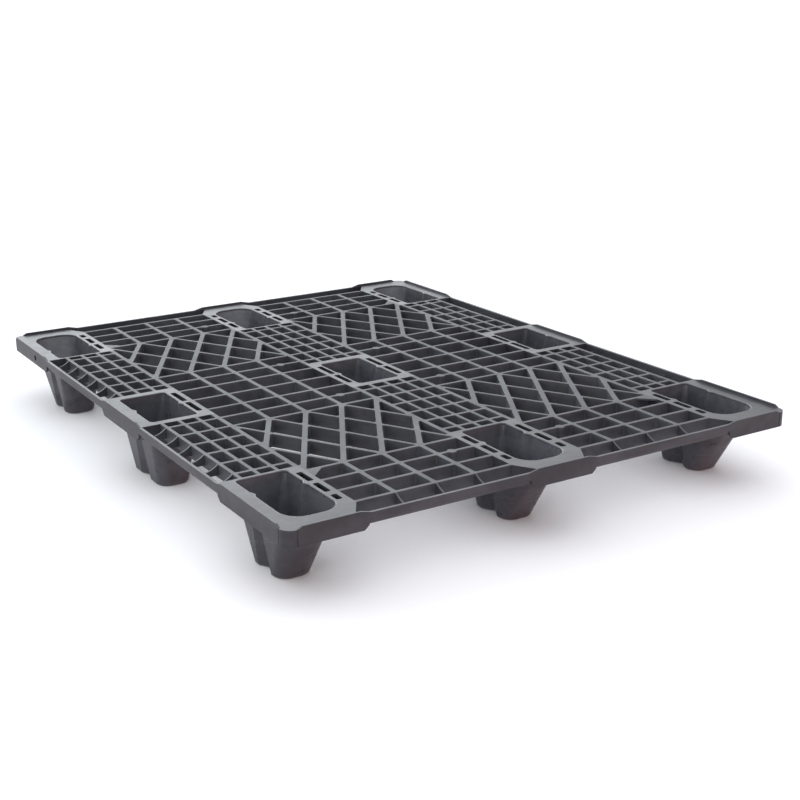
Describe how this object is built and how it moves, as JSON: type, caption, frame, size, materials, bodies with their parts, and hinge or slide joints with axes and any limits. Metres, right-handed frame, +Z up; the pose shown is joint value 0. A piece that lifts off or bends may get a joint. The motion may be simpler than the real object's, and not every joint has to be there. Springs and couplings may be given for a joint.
{
  "type": "plastic pallet",
  "caption": "Low nestable plastic pallet with an open grid deck, diagonal lattice fields, raised edge lips and hollow tapered legs in rows.",
  "frame": {"origin": "middle of the footprint at floor level", "axes": "+X along the 1100 mm side, +Y along the 1400 mm side, +Z up"},
  "size_m": [1.1, 1.4, 0.148],
  "materials": {
    "hdpe": "satin moulded high-density polyethylene, dark grey"
  },
  "bodies": {
    "root": {"field_centre_left": "hdpe", "field_centre_right": "hdpe", "field_front_left": "hdpe", "field_front_right": "hdpe", "field_rear_left": "hdpe", "field_rear_right": "hdpe", "leg_front_centre": "hdpe", "leg_front_left": "hdpe", "leg_front_right": "hdpe", "leg_mid_centre": "hdpe", "leg_mid_left": "hdpe", "leg_mid_right": "hdpe", "leg_rear_centre": "hdpe", "leg_rear_left": "hdpe", "leg_rear_right": "hdpe", "plate_front_centre": "hdpe", "plate_front_left": "hdpe", "plate_front_right": "hdpe", "plate_mid_centre": "hdpe", "plate_mid_left": "hdpe", "plate_mid_right": "hdpe", "plate_rear_centre": "hdpe", "plate_rear_left": "hdpe", "plate_rear_right": "hdpe", "rail_end_front_left": "hdpe", "rail_end_front_right": "hdpe", "rail_end_rear_left": "hdpe", "rail_end_rear_right": "hdpe", "rail_side_front_left": "hdpe", "rail_side_front_right": "hdpe", "rail_side_rear_left": "hdpe", "rail_side_rear_right": "hdpe", "strip_front_centre": "hdpe", "strip_front_left": "hdpe", "strip_front_right": "hdpe", "strip_rear_centre": "hdpe", "strip_rear_left": "hdpe", "strip_rear_right": "hdpe", "truss_front_left": "hdpe", "truss_front_right": "hdpe", "truss_rear_left": "hdpe", "truss_rear_right": "hdpe"}
  },
  "joints": []
}
